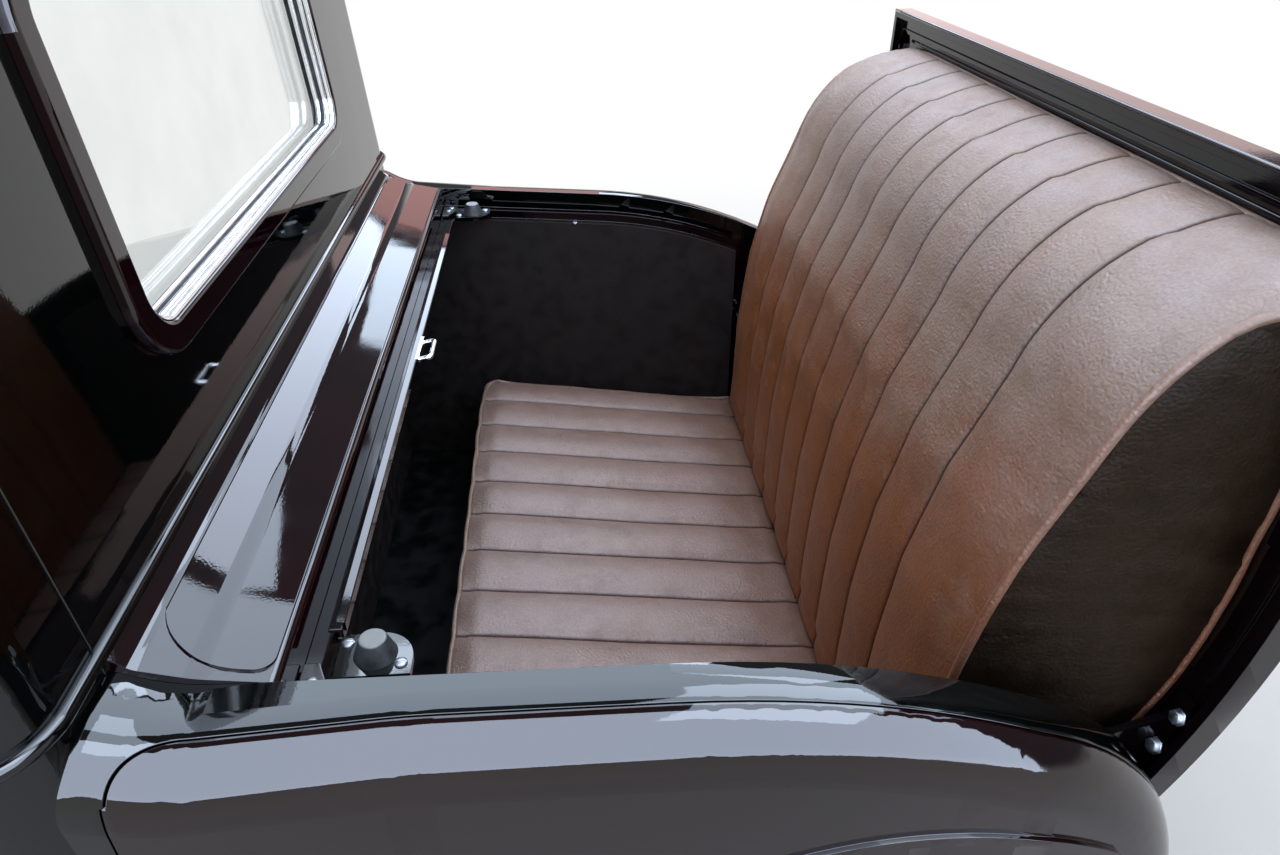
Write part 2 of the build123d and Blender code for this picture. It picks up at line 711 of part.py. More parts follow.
def build():
    """All nodes by name."""
    shell = side_shell()
    nodes = {}

    def pair(name, part):
        nodes[name + "_right"] = part
        nodes[name + "_left"] = mirrored(part)

    pair("quarter_panel", quarter_panel(shell))
    pair("belt_rail", belt_rail(shell))
    side = nodes["quarter_panel_right"] + nodes["belt_rail_right"]
    sides = side + mirrored(side)
    pair("side_gutter", side_gutter())
    back = cab_back_panel(sides)
    pair("side_trim", side_trim() - back)
    corner = cab_corner(shell)
    nodes["cab_back_panel"] = back
    pair("cab_corner", corner)
    cab = back + corner + mirrored(corner)
    nodes["belt_moulding"] = belt_moulding(cab) - sides
    nodes["deck_panel"] = deck_panel(cab, sides) - nodes["belt_moulding"]
    ring = window_outline(0) - window_outline(-frame_width)
    nodes["window_frame"] = wall_slab(ring, -frame_proud, frame_proud + glass_inset - glass_thick)
    ring = window_outline(-frame_width + seal_width) - window_outline(-frame_width)
    nodes["window_seal"] = wall_slab(ring, glass_inset - glass_thick, glass_thick)
    nodes["window_glass"] = wall_slab(window_outline(0), glass_inset, glass_thick)
    nodes["front_gutter"] = front_gutter()
    pair("corner_gusset", corner_gusset())
    pair("bumper_bracket", bumper_bracket())
    pair("bumper", bumper())
    nodes["latch_striker"] = latch_striker()
    pair("sill", sill())
    nodes["cross_member_front"] = cross_member(-bolt_x)
    nodes["cross_member_rear"] = cross_member(bolt_x)
    nodes["floor_pan"] = floor_pan()
    nodes["bulkhead"] = bulkhead()
    nodes["tail_panel"] = tail_panel()
    nodes["seat_base"] = seat_base()
    nodes["seat_cushion"] = seat_cushion()
    pair("hinge_bracket", hinge_bracket())
    nodes["lid_skin"] = opened(lid_skin())
    nodes["lid_inner_panel"] = opened(lid_inner_panel())
    nodes["lid_handle"] = opened(lid_handle())
    pair("hinge_arm", opened(hinge_arm()))
    nodes["backrest_cushion"] = backrest_cushion()
    return nodes


os.makedirs("parts", exist_ok=True)
for name, part in build().items():
    export_step(part, "parts/" + name + ".step")
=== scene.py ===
import bmesh
import bpy
import math
import numpy as np
from mathutils import Matrix, Vector
from mathutils.bvhtree import BVHTree


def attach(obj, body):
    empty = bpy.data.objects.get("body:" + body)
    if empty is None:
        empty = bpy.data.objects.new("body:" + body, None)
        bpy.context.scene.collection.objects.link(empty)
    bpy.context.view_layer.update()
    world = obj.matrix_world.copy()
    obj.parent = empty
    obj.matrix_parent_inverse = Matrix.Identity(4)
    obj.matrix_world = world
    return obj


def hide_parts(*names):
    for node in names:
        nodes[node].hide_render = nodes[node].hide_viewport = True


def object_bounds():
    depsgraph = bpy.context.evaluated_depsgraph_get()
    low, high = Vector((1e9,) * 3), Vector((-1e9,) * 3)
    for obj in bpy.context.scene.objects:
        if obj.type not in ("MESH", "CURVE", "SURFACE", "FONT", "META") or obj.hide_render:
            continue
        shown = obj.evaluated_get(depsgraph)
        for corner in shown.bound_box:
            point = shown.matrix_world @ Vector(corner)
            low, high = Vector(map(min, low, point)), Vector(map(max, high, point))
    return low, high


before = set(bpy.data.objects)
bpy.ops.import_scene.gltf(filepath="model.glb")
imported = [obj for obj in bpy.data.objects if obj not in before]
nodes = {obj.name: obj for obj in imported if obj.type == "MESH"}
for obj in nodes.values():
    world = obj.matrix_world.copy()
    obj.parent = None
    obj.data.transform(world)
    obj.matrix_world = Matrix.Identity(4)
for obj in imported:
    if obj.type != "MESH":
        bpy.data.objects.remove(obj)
cad_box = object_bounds()
scene = bpy.context.scene

# Metres, X to the rear, Y to the car's right, Z up. The camera's place EYE is on the car's left, the near side
MM = 0.001
FIXED, LID = "body", "rumble_lid"
SIDES = ((-1, "near", "left"), (1, "far", "right"))
HINGE = Vector((0.325, 0, 0.301))
OPENING = 88
PLEAT = 84 * MM
EYE = Vector((0, -1.0, 1.035))


# Node trees


def material(name, **values):
    """New material with a Principled shader and its plain socket values."""
    mat = bpy.data.materials.new(name)
    mat.use_nodes = True
    shader = mat.node_tree.nodes["Principled BSDF"]
    for key, value in values.items():
        shader.inputs[key.replace("_", " ")].default_value = value
    return mat, mat.node_tree, shader


def srgb(r, g, b):
    """Linear colour of an 8 bit one."""
    out = []
    for c in (r, g, b):
        c /= 255
        out.append(c / 12.92 if c <= 0.04045 else ((c + 0.055) / 1.055) ** 2.4)
    return (*out, 1.0)


def dimmed(colour, share):
    """Darker shade of a linear colour."""
    return tuple(c * share for c in colour[:3]) + (1.0,)


def coords(tree):
    """Object coordinates, one node per tree."""
    for n in tree.nodes:
        if n.bl_idname == "ShaderNodeTexCoord":
            return n.outputs["Object"]
    return tree.nodes.new("ShaderNodeTexCoord").outputs["Object"]


def stretched(tree, scale):
    """Object coordinates scaled by axis."""
    node = tree.nodes.new("ShaderNodeMapping")
    node.inputs["Scale"].default_value = scale
    tree.links.new(coords(tree), node.inputs["Vector"])
    return node.outputs["Vector"]


def noise(tree, scale, detail, rough=0.55, vector=None, distortion=0.0):
    """Noise value."""
    node = tree.nodes.new("ShaderNodeTexNoise")
    values = {"Scale": scale, "Detail": detail, "Roughness": rough, "Distortion": distortion}
    for key, value in values.items():
        node.inputs[key].default_value = value
    tree.links.new(vector or coords(tree), node.inputs["Vector"])
    return node.outputs[0]


def cells(tree, scale, feature="F1", vector=None):
    """Voronoi distance."""
    node = tree.nodes.new("ShaderNodeTexVoronoi")
    node.feature = feature
    node.inputs["Scale"].default_value = scale
    tree.links.new(vector or coords(tree), node.inputs["Vector"])
    return node.outputs["Distance"]


def spread(tree, value, low, high, to_low=0.0, to_high=1.0):
    """Value mapped from one range to another, eased and clamped."""
    node = tree.nodes.new("ShaderNodeMapRange")
    node.interpolation_type = "SMOOTHSTEP"
    for key, v in zip((1, 2, 3, 4), (low, high, to_low, to_high)):
        node.inputs[key].default_value = v
    tree.links.new(value, node.inputs[0])
    return node.outputs[0]


def math_node(tree, kind, a, b):
    """Math of two sockets or numbers."""
    node = tree.nodes.new("ShaderNodeMath")
    node.operation = kind
    for slot, v in enumerate((a, b)):
        if isinstance(v, (int, float)):
            node.inputs[slot].default_value = v
        else:
            tree.links.new(v, node.inputs[slot])
    return node.outputs[0]


def axis_value(tree, axis):
    """One object coordinate."""
    node = tree.nodes.new("ShaderNodeSeparateXYZ")
    tree.links.new(coords(tree), node.inputs[0])
    return node.outputs["XYZ".index(axis)]


def blended(tree, factor, a, b):
    """Mix of two colours by a factor socket."""
    node = tree.nodes.new("ShaderNodeMix")
    node.data_type = "RGBA"
    tree.links.new(factor, node.inputs[0])
    for slot, v in ((6, a), (7, b)):
        if isinstance(v, tuple):
            node.inputs[slot].default_value = v
        else:
            tree.links.new(v, node.inputs[slot])
    return node.outputs[2]


def background_rays(tree):
    """1 for the rays that look past the object at the background: camera, glossy and transmission rays."""
    ray = tree.nodes.new("ShaderNodeLightPath")
    return math_node(tree, "MAXIMUM", ray.outputs["Is Camera Ray"],
                     math_node(tree, "MAXIMUM", ray.outputs["Is Glossy Ray"], ray.outputs["Is Transmission Ray"]))


def bumped(tree, shader, layers):
    """Stacked bumps: height socket, strength and distance in metres."""
    last = None
    for height, strength, distance in layers:
        node = tree.nodes.new("ShaderNodeBump")
        node.inputs["Strength"].default_value = strength
        node.inputs["Distance"].default_value = distance
        tree.links.new(height, node.inputs["Height"])
        if last:
            tree.links.new(last, node.inputs["Normal"])
        last = node.outputs[0]
    tree.links.new(last, shader.inputs["Normal"])


def finished(tree, shader, colour, rough, layers=()):
    """Feeds a shader's colour and roughness, and its bumps."""
    tree.links.new(colour, shader.inputs["Base Color"])
    tree.links.new(rough, shader.inputs["Roughness"])
    if layers:
        bumped(tree, shader, layers)


def paint(name, colour, second, rough=0.035, dust=0.03, shine=0.5):
    """Old glossy enamel: slow colour drift, faint orange peel, dust and fine wear marks."""
    mat, tree, shader = material(name, IOR=1.5, Specular_IOR_Level=shine)
    drift = spread(tree, noise(tree, 5.0, 4), 0.35, 0.68)
    base = blended(tree, drift, colour, second)
    grit = spread(tree, noise(tree, 240.0, 5, 0.7), 0.66, 0.80, 0, dust)
    base = blended(tree, grit, base, srgb(150, 146, 140))
    haze = math_node(tree, "ADD", spread(tree, noise(tree, 24.0, 4), 0.3, 0.75, rough * 0.5, rough * 1.4),
                     math_node(tree, "MULTIPLY", grit, 1.5))
    peel, dents = noise(tree, 420.0, 1), noise(tree, 7.0, 2)
    finished(tree, shader, base, haze, [(peel, 0.04, 0.0002), (dents, 0.10, 0.003)])
    return mat


def metal(name, colour, rough, grain, wear):
    """Bright or dull metal with streaks along its grain and stains."""
    mat, tree, shader = material(name, Metallic=1.0)
    streak = noise(tree, 260.0, 4, 0.6, stretched(tree, grain))
    stain = spread(tree, noise(tree, 40.0, 5, 0.65), 0.42, 0.72)
    base = blended(tree, stain, colour, dimmed(colour, 1 - wear))
    mixed = math_node(tree, "ADD", spread(tree, streak, 0.3, 0.7, rough * 0.7, rough * 1.3),
                      math_node(tree, "MULTIPLY", stain, 0.12))
    finished(tree, shader, base, mixed, [(streak, 0.12, 0.0002), (noise(tree, 600, 3), 0.05, 0.0001)])
    return mat


def rubber(name, colour, chalk):
    """Aged rubber with a chalky bloom."""
    mat, tree, shader = material(name, Specular_IOR_Level=0.35)
    bloom = spread(tree, noise(tree, 90.0, 5, 0.7), 0.45, 0.8, 0, 0.35)
    haze = spread(tree, noise(tree, 70.0, 3), 0.3, 0.7, 0.5, 0.8)
    finished(tree, shader, blended(tree, bloom, colour, chalk), haze,
             [(noise(tree, 900.0, 4), 0.25, 0.0003), (cells(tree, 160.0), 0.08, 0.0005)])
    return mat


def leather(name, tan, taupe, sheen_pale, low, high, sheen=0.12, shine=0.35):
    """Grained leathercloth: tan where it is worn, low down, taupe elsewhere, and a painted sheen that turns it pale
    higher up, between the heights low and high. The mesh attribute of the sewn channels paints shade into them."""
    mat, tree, shader = material(name, Sheen_Weight=sheen, Sheen_Roughness=0.45, Specular_IOR_Level=shine)
    shader.inputs["Sheen Tint"].default_value = srgb(225, 215, 222)
    tall = spread(tree, axis_value(tree, "Z"), low, high)
    worn = math_node(tree, "ADD", math_node(tree, "MULTIPLY", noise(tree, 7.0, 6, 0.65), 1.9),
                     math_node(tree, "SUBTRACT", 0.05, math_node(tree, "MULTIPLY", tall, 0.95)))
    worn = math_node(tree, "ADD", worn, math_node(tree, "MULTIPLY", noise(tree, 150.0, 4, 0.7), 0.6))
    worn = spread(tree, worn, 0.60, 1.15)
    base = blended(tree, worn, taupe, tan)
    # Painted sheen: a pale colour is mixed in higher up, where a reflection of the sky would fall
    painted_sheen = math_node(tree, "MULTIPLY", spread(tree, noise(tree, 10.0, 6, 0.7), 0.2, 0.8, 0.45, 0.95), tall)
    base = blended(tree, painted_sheen, base, sheen_pale)
    grain = cells(tree, 420.0, "SMOOTH_F1", stretched(tree, (1.0, 1.0, 0.72)))
    vein = cells(tree, 150.0, "DISTANCE_TO_EDGE", stretched(tree, (1.0, 1.0, 1.5)))
    pores = spread(tree, grain, 0.1, 0.62)
    base = blended(tree, math_node(tree, "MULTIPLY", pores, 0.17), base, srgb(74, 46, 34))
    soil = spread(tree, noise(tree, 16.0, 6, 0.7), 0.48, 0.78, 0, 0.5)
    base = blended(tree, soil, base, dimmed(taupe, 0.42))
    # Painted shade in the sewn channels: the attribute darkens the colour there and takes the shine away
    attribute = tree.nodes.new("ShaderNodeAttribute")
    attribute.attribute_name = "channel_shade"
    channel_shade = attribute.outputs["Fac"]
    base = blended(tree, math_node(tree, "MULTIPLY", channel_shade, 0.82), base, srgb(40, 24, 18))
    tree.links.new(spread(tree, channel_shade, 0.1, 0.8, shine, 0.03), shader.inputs["Specular IOR Level"])
    haze = spread(tree, noise(tree, 30.0, 5, 0.7), 0.3, 0.7, 0.38, 0.60)
    wrinkle = noise(tree, 60.0, 6, 0.65, stretched(tree, (0.6, 0.6, 1.8)), 0.6)
    finished(tree, shader, base, haze, [(grain, 0.55, 0.0008), (vein, 0.40, 0.0012), (wrinkle, 0.34, 0.0024)])
    return mat


def board(name, colour, second):
    """Covered or painted board with a light texture."""
    mat, tree, shader = material(name, Specular_IOR_Level=0.12)
    base = blended(tree, spread(tree, noise(tree, 11.0, 5, 0.65), 0.35, 0.7), colour, second)
    haze = spread(tree, noise(tree, 40.0, 4), 0.3, 0.7, 0.48, 0.72)
    finished(tree, shader, base, haze, [(cells(tree, 520.0), 0.22, 0.0005), (noise(tree, 30.0, 5), 0.15, 0.0015)])
    return mat


def timber(name):
    """Plain sawn wood."""
    mat, tree, shader = material(name, Roughness=0.65)
    rings = noise(tree, 9.0, 5, 0.6, stretched(tree, (1.0, 0.12, 6.0)), 1.2)
    base = blended(tree, spread(tree, rings, 0.35, 0.65), srgb(120, 86, 54), srgb(74, 48, 28))
    tree.links.new(base, shader.inputs["Base Color"])
    bumped(tree, shader, [(rings, 0.3, 0.001), (noise(tree, 300, 3), 0.2, 0.0004)])
    return mat


def window_glass():
    """Clear, slightly grey glass with a film of dust."""
    mat, tree, shader = material("window_glass", Transmission_Weight=1.0, IOR=1.5)
    film = spread(tree, noise(tree, 9.0, 6, 0.6), 0.3, 0.8)
    base = blended(tree, film, srgb(236, 240, 239), srgb(226, 230, 229))
    finished(tree, shader, base, spread(tree, film, 0, 1, 0.0, 0.02))
    return mat


MATS = {
    "body_paint": paint("body_paint", srgb(34, 9, 15), srgb(24, 6, 11)),
    "belt_paint": paint("belt_paint", srgb(8, 13, 14), srgb(5, 8, 9)),
    "cab_paint": paint("cab_paint", srgb(5, 8, 10), srgb(3, 5, 6)),
    "inner_paint": paint("inner_paint", srgb(22, 12, 18), srgb(12, 8, 11), 0.08, 0.05, 0.25),
    "frame_paint": paint("frame_paint", srgb(12, 13, 14), srgb(7, 8, 9), 0.50, 0.05, 0.08),
    "bright_metal": metal("bright_metal", srgb(226, 228, 230), 0.10, (1, 12, 1), 0.12),
    "bare_steel": metal("bare_steel", srgb(120, 122, 126), 0.42, (1, 1, 1), 0.35),
    "rubber": rubber("rubber", srgb(15, 16, 18), srgb(74, 78, 82)),
    "glass": window_glass(),
    "trim_board": board("trim_board", srgb(31, 21, 17), srgb(23, 16, 13)),
    "wood": timber("wood"),
}
# Leathers: tan, taupe, the pale colour of the painted sheen, lower and upper height of that painted sheen, then
# sheen and shine where they differ
LEATHER = {
    "seat": leather("seat_leather", srgb(120, 86, 68), srgb(136, 108, 98), srgb(156, 134, 128), 0.12, 0.26),
    "back": leather("back_leather", srgb(160, 90, 30), srgb(166, 126, 94), srgb(164, 150, 149), 0.38, 0.84,
                    0.05),
    # The boxing is the face leather painted darker, as painted shade on the pads' sides and ends, with little shine
    "boxing": leather("boxing_leather_shaded", srgb(44, 33, 19), srgb(34, 27, 17), srgb(40, 32, 22), 0.2, 1.2,
                      0.0, 0.06),
    "welt": leather("welt_leather", srgb(158, 94, 52), srgb(146, 98, 68), srgb(186, 160, 148), 0.42, 0.86),
    "seat_welt": leather("seat_welt_leather", srgb(126, 96, 78), srgb(150, 124, 110), srgb(160, 138, 124),
                         0.1, 0.3),
}
PLATE = paint("plate_paint", srgb(58, 57, 60), srgb(40, 38, 41), 0.25, 0.2)

for node in nodes.values():
    slot = node.data.materials[0].name.split(".")[0]
    node.data.materials.clear()
    node.data.materials.append(LEATHER["seat"] if slot == "seat_leather" else MATS[slot])


# Meshes

CLOTH_FRAMES = 20
# Distances of a pad's stations from a seam, and their pitch across the rest of a wide pleat
SEAM_STEPS = (0, 0.0011, 0.0024, 0.0046, 0.008, 0.013, 0.020, 0.029, 0.038)
PLEAT_PITCH = 0.012
# Half widths of a sewn channel's shape and of the painted shade along it
CHANNEL, CHANNEL_SHADE_WIDTH = 0.0021, 0.0022


def mesh_object(name, verts, faces, mats, smooth=True):
    """New mesh object in the scene."""
    mesh = bpy.data.meshes.new(name)
    mesh.from_pydata([tuple(v) for v in verts], [], faces)
    for m in mats:
        mesh.materials.append(m)
    mesh.polygons.foreach_set("use_smooth", [smooth] * len(mesh.polygons))
    mesh.update()
    o = bpy.data.objects.new(name, mesh)
    scene.collection.objects.link(o)
    return o


def swollen(source, voxel=6 * MM, shrink=4 * MM, cap=8 * MM):
    """Tree of a CAD solid's surface after a short cloth run with pressure, its points held within a cap."""
    mesh = nodes[source].data.copy()
    o = bpy.data.objects.new(source + "_form", mesh)
    scene.collection.objects.link(o)
    bm = bmesh.new()
    bm.from_mesh(mesh)
    bmesh.ops.remove_doubles(bm, verts=bm.verts, dist=1e-5)
    bm.to_mesh(mesh)
    bm.free()
    remesh = o.modifiers.new("remesh", "REMESH")
    remesh.mode = "VOXEL"
    remesh.voxel_size = voxel
    graph = bpy.context.evaluated_depsgraph_get()
    o.data = bpy.data.meshes.new_from_object(o.evaluated_get(graph))
    o.modifiers.clear()
    points = np.array([v.co - v.normal * shrink for v in o.data.vertices])
    o.data.vertices.foreach_set("co", points.ravel())
    o.data.update()
    cloth = o.modifiers.new("cloth", "CLOTH")
    cloth.settings.quality = 4
    cloth.settings.tension_stiffness = 12
    cloth.settings.compression_stiffness = 12
    cloth.settings.use_pressure = True
    cloth.settings.uniform_pressure_force = 4
    cloth.settings.effector_weights.gravity = 0
    cloth.point_cache.frame_start = 1
    cloth.point_cache.frame_end = CLOTH_FRAMES
    for f in range(1, CLOTH_FRAMES + 1):
        scene.frame_set(f)
    graph = bpy.context.evaluated_depsgraph_get()
    done = np.array([v.co for v in o.evaluated_get(graph).data.vertices])
    facing = np.array([v.normal for v in o.data.vertices])
    rise = np.clip(((done - points) * facing).sum(1), cap * 0.45, cap)
    points = points + facing * rise[:, None]
    o.modifiers.clear()
    scene.frame_set(1)
    tree = BVHTree.FromPolygons([tuple(p) for p in points], [tuple(p.vertices) for p in o.data.polygons])
    bpy.data.objects.remove(o)
    return tree


def spaced(points, counts):
    """Loop of points through corners, with a number of steps for each run."""
    out = []
    for (a, b), n in zip(zip(points, points[1:] + points[:1]), counts):
        for i in range(n):
            t = i / n
            out.append((a[0] + (b[0] - a[0]) * t, a[1] + (b[1] - a[1]) * t))
    return out


def stations(edges):
    """Positions across a pleated pad, close together beside each seam and end."""
    out = set()
    last = SEAM_STEPS[-1]
    for a, b in zip(edges, edges[1:]):
        half = (b - a) / 2
        for s in SEAM_STEPS:
            if s <= half:
                out.update((round(a + s, 6), round(b - s, 6)))
        if half > last:
            count = max(2, int((b - a - 2 * last) / PLEAT_PITCH))
            out.update(round(a + last + (b - a - 2 * last) * i / count, 6) for i in range(count + 1))
    return sorted(out)


def wave(seed, scale, *args):
    """Smooth repeatable wobble of a point."""
    r = np.random.default_rng(seed)
    total = 0.0
    for _ in range(5):
        k = r.normal(0, 1, len(args)) / scale
        total = total + np.sin(sum(ki * a for ki, a in zip(k, args)) + r.uniform(0, 6.28))
    return total / 5


def coons(loop, sides):
    """Grid of points inside a closed loop split into four sides."""
    n, m = sides[0], sides[1]
    bottom = loop[:n + 1]
    right = loop[n:n + m + 1]
    top = loop[n + m:2 * n + m + 1][::-1]
    left = np.concatenate([loop[2 * n + m:], loop[:1]])[::-1]
    grid = np.zeros((n + 1, m + 1, 3))
    for i in range(n + 1):
        u = i / n
        for j in range(m + 1):
            v = j / m
            edge = (1 - v) * bottom[i] + v * top[i] + (1 - u) * left[j] + u * right[j]
            corner = ((1 - u) * (1 - v) * bottom[0] + u * (1 - v) * bottom[-1] + u * v * top[-1]
                      + (1 - u) * v * top[0])
            grid[i, j] = edge - corner
    return grid


def pleated(loop, face_end, edges, clamp, tree, crown, fades, tuck):
    """Grid of a pleated pad's points, a profile loop at each station, and how much painted shade each takes from a
    sewn channel.
    The face is points 0 to face_end, and fades are the steps over which the pleats die out at its two ends."""
    seams = edges[1:-1]
    ys = stations(edges)
    grid = np.zeros((len(ys), len(loop), 3))
    channel_shade = np.zeros((len(ys), len(loop)))
    for i, y in enumerate(ys):
        a = max((e for e in edges[:-1] if e <= y + 1e-9), default=edges[0])
        b = min((e for e in edges[1:] if e > a + 1e-9), default=edges[-1])
        rise = 1 - max(0, 1 - min(y - a, b - y) / (PLEAT / 2)) ** 2.3
        d = min(abs(y - s) for s in seams)
        for j, (x, z) in enumerate(loop):
            face = j <= face_end
            shift = 0.0012 * wave(3, 0.10, x, z, round(y / PLEAT) * 0.9) if face else 0.0
            want = clamp(x, y + shift, z)
            place, normal, _, _ = tree.find_nearest(want)
            # A point that the rounded corner moves keeps its own place
            moved = min(1, (want - Vector((x, y + shift, z))).length / 0.004)
            place = place.lerp(want, moved)
            normal = normal.lerp(Vector((0, 0, 1)), moved)
            lift = 0.0
            if face:
                fade = min(1, (0.25 + j / fades[0])) * min(1, 0.12 + max(0, face_end - j) / fades[1])
                lift = crown * fade * (rise - 0.45)
                lift -= 0.0020 * (0.5 + 0.5 * fade) * math.exp(-((d / CHANNEL) ** 2))
                lift += 0.0005 * wave(11, 0.018, x, y, z) + 0.0014 * wave(12, 0.07, x, y, z)
                # Painted shade along the sewn channel, kept for each point
                channel_shade[i, j] = math.exp(-((d / CHANNEL_SHADE_WIDTH) ** 2))
            grid[i, j] = np.array(place) + np.array(normal) * lift + np.array(tuck(x, z))
    return grid, channel_shade


def pad(name, loop, sides, edges, clamp, tree, crown, fades, tuck, body, mats):
    """Pleated pad with closed, slightly bulging ends. Sides are the steps of the loop's four sides, face first."""
    n, m = sides[:2]
    grid, channel_shade = pleated(loop, n, edges, clamp, tree, crown, fades, tuck)
    rows, count = grid.shape[:2]
    verts = grid.reshape(-1, 3).tolist()
    marks = channel_shade.reshape(-1).tolist()
    faces, slots = [], []
    for i in range(rows - 1):
        for j in range(count):
            k = (j + 1) % count
            faces.append((i * count + j, i * count + k, (i + 1) * count + k, (i + 1) * count + j))
            slots.append(0 if j < n else 1)
    rim = [(i, 0) for i in range(n)] + [(n, j) for j in range(m)]
    rim += [(i, m) for i in range(n, 0, -1)] + [(0, j) for j in range(m, 0, -1)]
    for end, out in ((0, -1), (rows - 1, 1)):
        cap = coons(grid[end], sides)
        at = np.full((n + 1, m + 1), -1)
        for index, (i, j) in enumerate(rim):
            at[i, j] = end * count + index
        for i in range(1, n):
            for j in range(1, m):
                p = cap[i, j]
                bulge = 0.006 * (math.sin(math.pi * i / n) * math.sin(math.pi * j / m)) ** 0.5
                at[i, j] = len(verts)
                verts.append([p[0], p[1] + out * bulge, p[2]])
                marks.append(0)
        for i in range(n):
            for j in range(m):
                faces.append((at[i, j], at[i + 1, j], at[i + 1, j + 1], at[i, j + 1]))
                slots.append(1)
    o = mesh_object(name, verts, [tuple(int(v) for v in f) for f in faces], mats)
    o.data.polygons.foreach_set("material_index", slots)
    # The attribute carries the painted shade of the sewn channels
    mark = o.data.attributes.new("channel_shade", "FLOAT", "POINT")
    mark.data.foreach_set("value", marks)
    bm = bmesh.new()
    bm.from_mesh(o.data)
    bmesh.ops.recalc_face_normals(bm, faces=bm.faces)
    bm.to_mesh(o.data)
    bm.free()
    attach(o, body)
    return o, grid


def tube(name, points, radius, mat, body, sides=10, closed=False):
    """Round cord along points, as a mesh."""
    pts = [Vector(p) for p in points]
    n = len(pts)
    verts, faces = [], []
    up = Vector((0, 0, 1))
    last = None
    for i, p in enumerate(pts):
        a = pts[i - 1] if i or closed else pts[0]
        b = pts[(i + 1) % n] if i < n - 1 or closed else pts[-1]
        along = (b - a).normalized()
        side = (last - along * last.dot(along)) if last else along.cross(up)
        if side.length < 1e-6:
            side = along.orthogonal()
        side.normalize()
        last = side
        other = along.cross(side)
        for k in range(sides):
            t = 2 * math.pi * k / sides
            verts.append(p + (side * math.cos(t) + other * math.sin(t)) * radius)
    for i in range(n if closed else n - 1):
        for k in range(sides):
            a, b = i * sides + k, i * sides + (k + 1) % sides
            c, d = ((i + 1) % n) * sides + (k + 1) % sides, ((i + 1) % n) * sides + k
            faces.append((a, b, c, d))
    if not closed:
        faces.append(tuple(range(sides))[::-1])
        faces.append(tuple((n - 1) * sides + k for k in range(sides)))
    o = mesh_object(name, verts, faces, [mat])
    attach(o, body)


def welt(name, line, radius, kind, body):
    """Leather welt along a line of points, in equal steps with its corners eased."""
    step = 0.008
    pts = np.array(line, float)
    for _ in range(2):
        pts[1:-1] = pts[1:-1] * 0.5 + (pts[:-2] + pts[2:]) * 0.25
    run = np.concatenate([[0], np.cumsum(np.linalg.norm(np.diff(pts, axis=0), axis=1))])
    at = np.linspace(0, run[-1], max(3, int(run[-1] / step)))
    pts = np.stack([np.interp(at, run, pts[:, c]) for c in range(3)], 1)
    tube(name, pts, radius, LEATHER[kind], body)


def rounded(reach, corner, inset, past_end):
    """Where a rounded corner brings a pad's edge, past_end beyond the corner's start."""
    return corner + reach * (inset - math.sqrt(max(0.0, inset ** 2 - min(past_end, inset) ** 2)))


# Seat cushion: profile as x and z, half width, end of the pleated width

SEAT_FRONT, SEAT_REAR = -0.165, 0.297
SEAT_TOP_FRONT, SEAT_TOP_REAR, SEAT_THICK = 0.221, 0.1585, 0.095
SEAT_HALF, SEAT_PAD_END, SEAT_CORNER = 0.498, 0.494, 48 * MM
SEAT_SIDES = (60, 8, 60, 8)


def seat_clamp(x, y, z):
    """Rounds the front corners of the cushion in plan."""
    past = max(0.0, abs(y) - (SEAT_HALF - SEAT_CORNER))
    return Vector((max(x, rounded(1, SEAT_FRONT, SEAT_CORNER, past)), y, z))


def seat_tuck(x, z):
    """Presses the cushion's rear edge against the backrest."""
    near_rear = max(0, (x - 0.27) / 0.027)
    return (0.0065 * near_rear, 0, 0.002 * near_rear if z > 0.13 else 0)


seat_loop = spaced([(SEAT_FRONT, SEAT_TOP_FRONT), (SEAT_REAR, SEAT_TOP_REAR),
                    (SEAT_REAR, SEAT_TOP_REAR - SEAT_THICK), (SEAT_FRONT, SEAT_TOP_FRONT - SEAT_THICK)],
                   SEAT_SIDES)
seat_edges = [-SEAT_PAD_END] + [k * PLEAT for k in range(-5, 6)] + [SEAT_PAD_END]
seat, seat_grid = pad("seat_pad", seat_loop, SEAT_SIDES, seat_edges, seat_clamp, swollen("seat_cushion"), 0.0105,
                      (5, 10), seat_tuck, FIXED, [LEATHER["seat"], LEATHER["boxing"]])
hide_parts("seat_cushion")

near_side = [seat_grid[0, j] for j in range(SEAT_SIDES[0], 0, -3)]
far_side = [seat_grid[-1, j] for j in range(3, SEAT_SIDES[0] + 1, 3)]
welt("seat_front_welt", near_side + list(seat_grid[::3, 0]) + far_side, 3.0 * MM, "seat_welt", FIXED)


# Backrest: profile as x and z, from its foot up the front, over the crown and down the rear

BACK_FRONT = ((0.3005, 0.164), (0.301, 0.250), (0.305, 0.345), (0.318, 0.455), (0.343, 0.560), (0.384, 0.660))
BACK_CROWN = ((0.384, 0.660), (0.446, 0.758), (0.560, 0.800))
BACK_HALF, BACK_PAD_END, BACK_CORNER = 0.480, 0.476, 44 * MM
BACK_REAR_TOP, BACK_REAR_FOOT = 0.786, 0.1655


def arc_points(a, b, c, count):
    """Points on the circle through three points."""
    m = np.array([2 * (b - a), 2 * (c - a)])
    centre = np.linalg.solve(m, [b @ b - a @ a, c @ c - a @ a])
    radius = np.linalg.norm(a - centre)
    t0, t1 = (math.atan2(*(p - centre)[::-1]) for p in (a, c))
    if t0 < t1:
        t0 += 2 * math.pi
    return [tuple(centre + radius * np.array([math.cos(t), math.sin(t)])) for t in np.linspace(t0, t1, count)]


